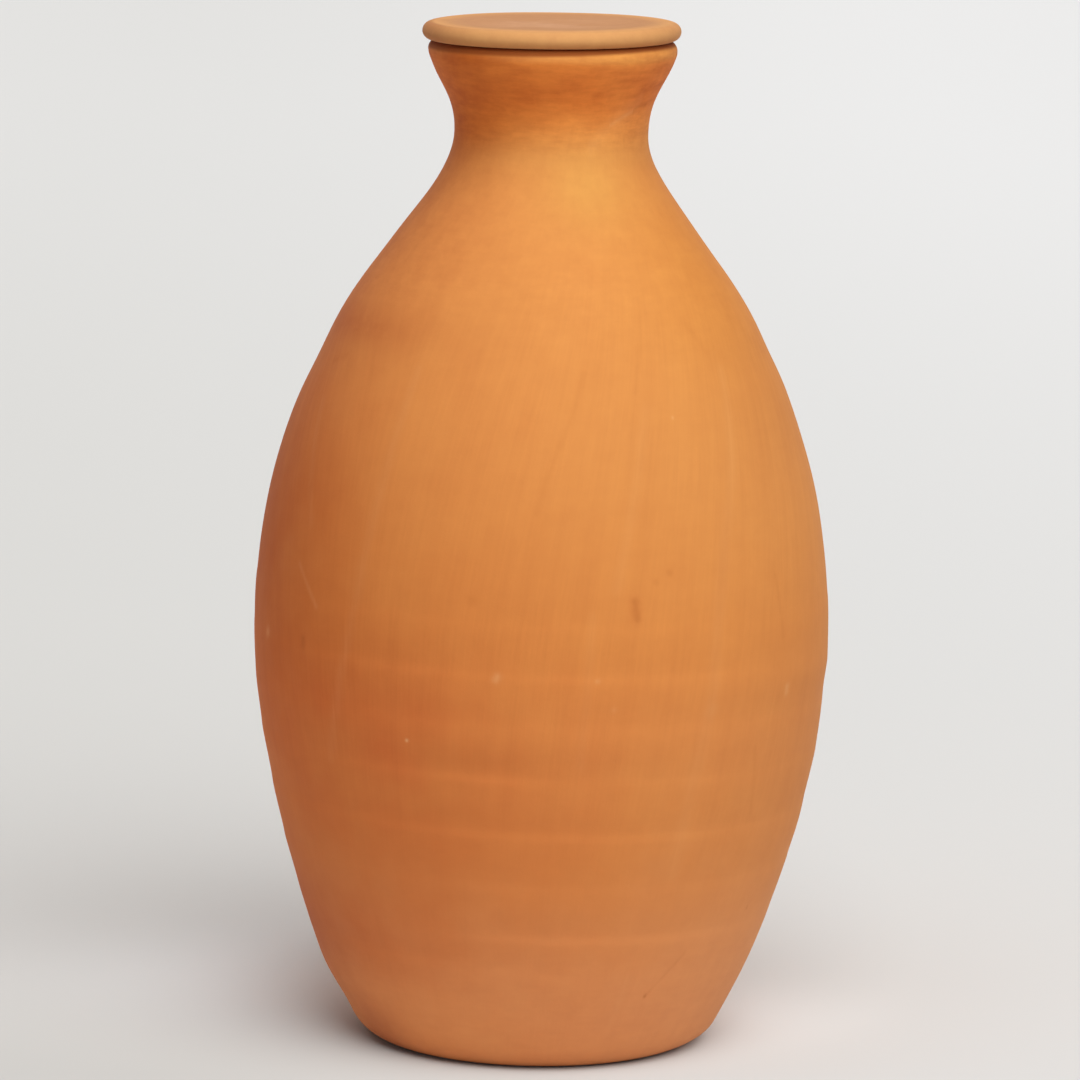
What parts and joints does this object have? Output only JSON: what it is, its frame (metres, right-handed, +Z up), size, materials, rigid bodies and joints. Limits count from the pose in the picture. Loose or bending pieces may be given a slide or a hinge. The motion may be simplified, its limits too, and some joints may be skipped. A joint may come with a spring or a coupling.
{
  "type": "irrigation olla",
  "caption": "Tall hollow jar of unglazed clay with a narrow flared neck and a loose disc lid, buried to its neck and filled with water that seeps out to the roots around it.",
  "frame": {"origin": "centre of the jar's flat foot, on the surface that it stands on", "axes": "+Z up along the jar's axis, from the foot to the lid; +X to the right and -Y towards the viewer in the picture's view"},
  "size_m": [0.1858, 0.1858, 0.3307],
  "materials": {
    "jar_clay": "unglazed terracotta, matt, wiped smooth, with faint throwing rings",
    "lid_clay": "unglazed terracotta, matt, paler and dustier than the jar"
  },
  "bodies": {
    "root": {"jar": "jar_clay", "lid": "lid_clay"}
  },
  "joints": []
}
